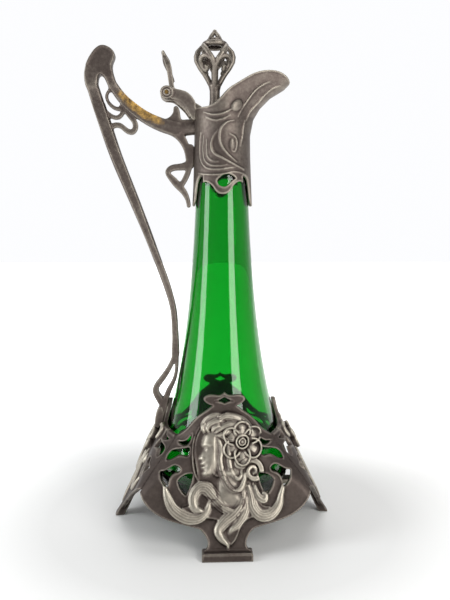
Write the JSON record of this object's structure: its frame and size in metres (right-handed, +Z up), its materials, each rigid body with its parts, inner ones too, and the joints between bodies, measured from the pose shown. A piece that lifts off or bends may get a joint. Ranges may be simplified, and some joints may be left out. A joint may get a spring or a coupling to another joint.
{
  "type": "claret decanter with hinged lid",
  "caption": "Tall flared green glass decanter in a pierced pewter base with feet, with a spouted neck collar, hinged lid with openwork finial, and a long whiplash handle.",
  "frame": {"origin": "on the glass axis at table level", "axes": "+Z up along the glass axis, +X towards the spout, -X towards the handle, -Y towards the front medallion panel"},
  "size_m": [0.2013, 0.176, 0.4],
  "materials": {
    "green_glass": "clear polished green glass",
    "pewter": "cast pewter with a dark brown-grey patina, worn bright on the relief",
    "plaster": "set plaster",
    "worn_brass": "tarnished brass"
  },
  "bodies": {
    "jug": {"glass_body": "green_glass", "base_panel_front": "pewter", "base_panel_back": "pewter", "base_panel_handle": "pewter", "base_panel_spout": "pewter", "base_seat": "pewter", "base_plaster": "plaster", "neck_collar": "pewter", "neck_plaster": "plaster", "handle": "pewter", "handle_leaf": "worn_brass", "hinge_cheek_front": "pewter", "hinge_cheek_back": "pewter", "hinge_pin": "worn_brass"},
    "lid": {"lid_plate": "pewter", "lid_flange": "pewter", "lid_strap": "pewter", "thumbpiece": "pewter", "finial": "pewter", "finial_stud": "worn_brass", "finial_washer": "worn_brass", "finial_nut": "worn_brass"}
  },
  "joints": [
    {"name": "lid_hinge", "type": "hinge", "parent": "jug", "child": "lid", "pos_m": [-0.0456, 0, 0.346], "axis": [0, -1, 0], "range_deg": [0, 70]}
  ]
}
